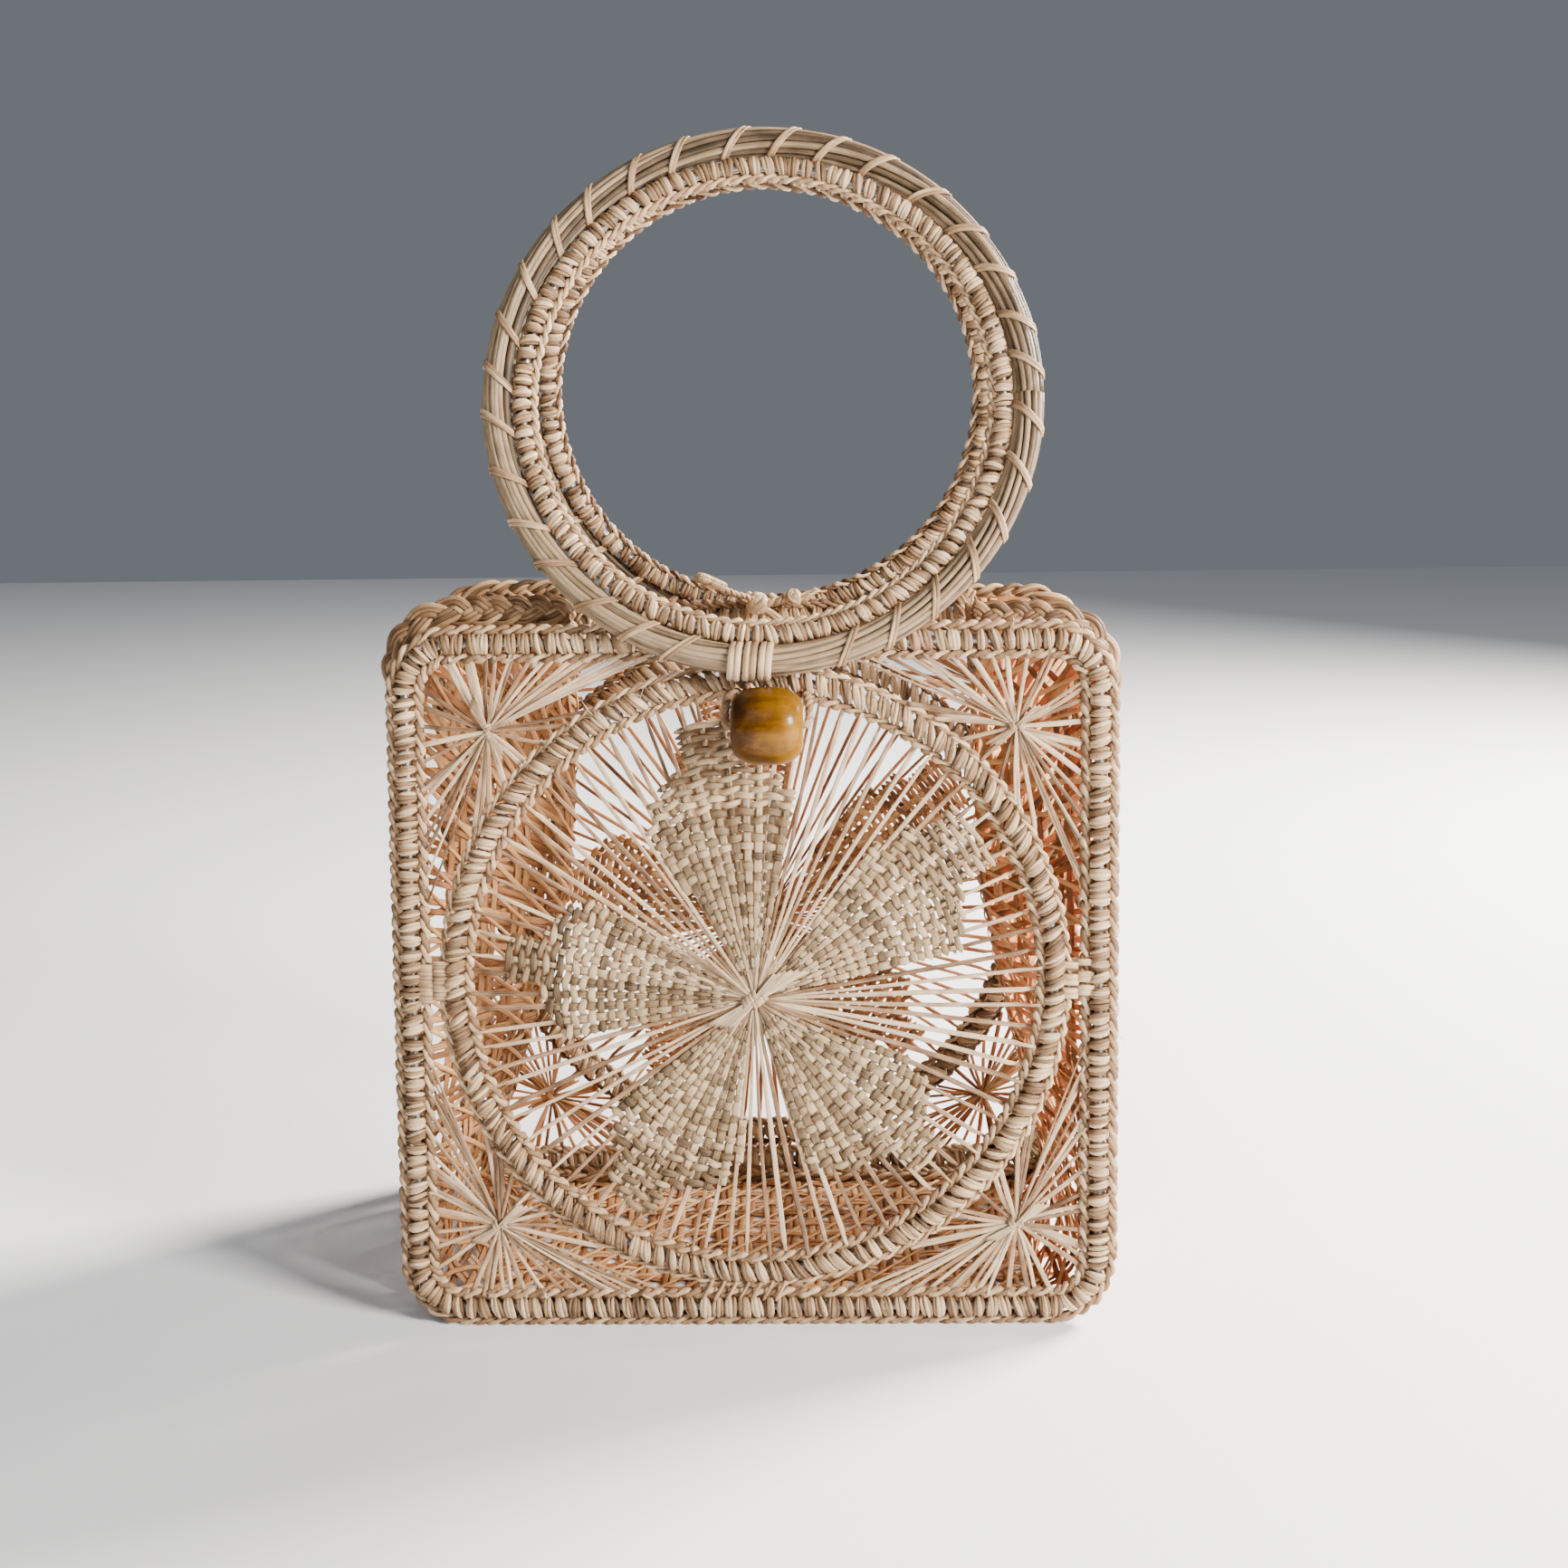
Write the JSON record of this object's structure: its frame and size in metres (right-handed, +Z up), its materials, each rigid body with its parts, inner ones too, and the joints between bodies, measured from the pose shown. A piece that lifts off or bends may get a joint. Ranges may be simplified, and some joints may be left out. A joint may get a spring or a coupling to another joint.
{
  "type": "handbag",
  "caption": "Square openwork straw handbag: two wire-framed panels with woven flowers, a soft folding gusset, ring handles and a bead-and-loop closure.",
  "frame": {"origin": "on the floor, under the middle of the bag's foot", "axes": "+X is the bag's width, -Y is its front, where the bead hangs, and +Z is up"},
  "size_m": [0.2106, 0.1248, 0.3464],
  "materials": {
    "wire": "drawn wire, hidden under the stitches",
    "straw": "tight buttonhole stitches of dry palm straw",
    "spokes": "flat dry palm strands",
    "weave": "plain weave of flat palm strands",
    "braid": "flat three-strand palm braid",
    "net": "openwork palm netting",
    "bundle": "bundle of round palm stems",
    "bead": "clear gloss lacquer over mottled wood"
  },
  "bodies": {
    "rear_panel": {"rear_frame_wire": "wire", "rear_frame_wrap": "straw", "rear_ring_wire": "wire", "rear_ring_wrap": "straw", "rear_ring_lashings": "straw", "rear_flower_spokes": "spokes", "rear_flower_petals": "weave", "rear_flower_tie": "spokes", "rear_fan_top_left": "spokes", "rear_fan_top_right": "spokes", "rear_fan_bottom_left": "spokes", "rear_fan_bottom_right": "spokes", "rear_fan_ties": "spokes", "rear_edge_braid": "braid", "rear_handle_lashing": "straw", "gusset_floor_net": "net", "gusset_left_net": "net", "gusset_right_net": "net", "gusset_left_end_braid": "braid", "gusset_right_end_braid": "braid", "closure_anchor": "straw", "closure_tail": "straw"},
    "front_panel": {"front_frame_wire": "wire", "front_frame_wrap": "straw", "front_ring_wire": "wire", "front_ring_wrap": "straw", "front_ring_lashings": "straw", "front_flower_spokes": "spokes", "front_flower_petals": "weave", "front_flower_tie": "spokes", "front_fan_top_left": "spokes", "front_fan_top_right": "spokes", "front_fan_bottom_left": "spokes", "front_fan_bottom_right": "spokes", "front_fan_ties": "spokes", "front_edge_braid": "braid", "front_handle_lashing": "straw"},
    "front_handle": {"front_handle_wire": "wire", "front_handle_wrap": "straw", "front_handle_bundle": "bundle", "front_handle_whipping": "straw"},
    "rear_handle": {"rear_handle_wire": "wire", "rear_handle_wrap": "straw", "rear_handle_bundle": "bundle", "rear_handle_whipping": "straw"},
    "bead_cord": {"bead_cord": "straw"},
    "bead": {"bead": "bead"},
    "closure_loop": {"closure_loop_cord": "straw", "closure_loop_wrap": "straw"}
  },
  "joints": [
    {"name": "panel_splay", "type": "hinge", "parent": "rear_panel", "child": "front_panel", "pos_m": [0, -0.057, 0.0053], "axis": [1, 0, 0], "range_deg": [0, 11], "deforming": ["gusset_left_net", "gusset_right_net", "gusset_left_end_braid", "gusset_right_end_braid"]},
    {"name": "front_handle_fold", "type": "hinge", "parent": "front_panel", "child": "front_handle", "pos_m": [0.004, -0.04808, 0.19602], "axis": [1, 0, 0], "range_deg": [0, 100]},
    {"name": "rear_handle_fold", "type": "hinge", "parent": "rear_panel", "child": "rear_handle", "pos_m": [0.004, 0.04808, 0.19602], "axis": [-1, 0, 0], "range_deg": [0, 165]},
    {"name": "bead_swing", "type": "hinge", "parent": "front_panel", "child": "bead_cord", "pos_m": [0.0048, -0.03961, 0.18587], "axis": [-1, 0, 0], "range_deg": [0, 8]},
    {"name": "bead_spin", "type": "hinge", "parent": "bead_cord", "child": "bead", "pos_m": [0.0048, -0.05277, 0.17809], "axis": [1, 0, 0], "continuous": true},
    {"name": "closure_swing", "type": "hinge", "parent": "rear_panel", "child": "closure_loop", "pos_m": [0, 0.03072, 0.2052], "axis": [0, 0, 1], "range_deg": [-35, 70]}
  ]
}
